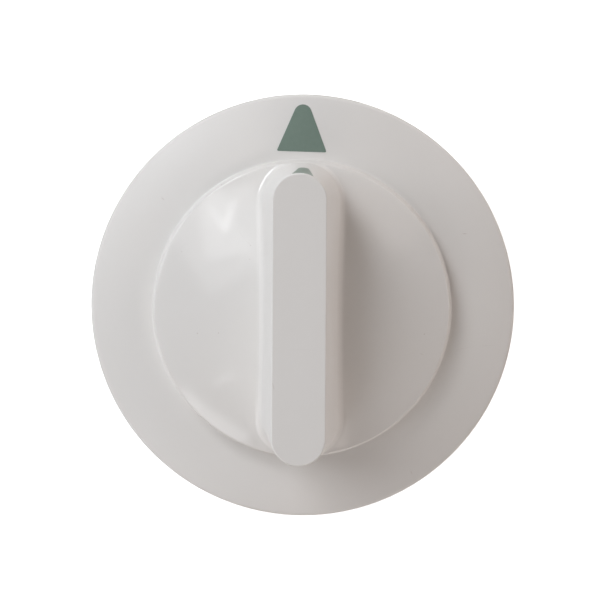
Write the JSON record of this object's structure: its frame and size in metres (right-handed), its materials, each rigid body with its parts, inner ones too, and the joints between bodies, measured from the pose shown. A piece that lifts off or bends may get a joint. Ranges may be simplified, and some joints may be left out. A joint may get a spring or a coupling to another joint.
{
  "type": "dryer timer knob",
  "caption": "Round timer knob with a wide skirt, a domed disc and a straight finger bar. Its split D hub and spring clip push onto a control shaft.",
  "frame": {"origin": "centre of the plane of the skirt's back rim, which is the bottom centre of the box", "axes": "+Z along the knob's axis out of its front, +Y the way that the printed pointer points, +X to the right of it"},
  "size_m": [0.076, 0.076, 0.0255],
  "materials": {
    "white_plastic": "glossy moulded white, finely matt on the top of the bar",
    "green_ink": "thin grey-green printed ink",
    "spring_steel": "plain spring steel band"
  },
  "bodies": {
    "root": {"knob_body": "white_plastic", "spring_clip": "spring_steel", "skirt_pointer": "green_ink", "bar_pointer": "green_ink"}
  },
  "joints": []
}
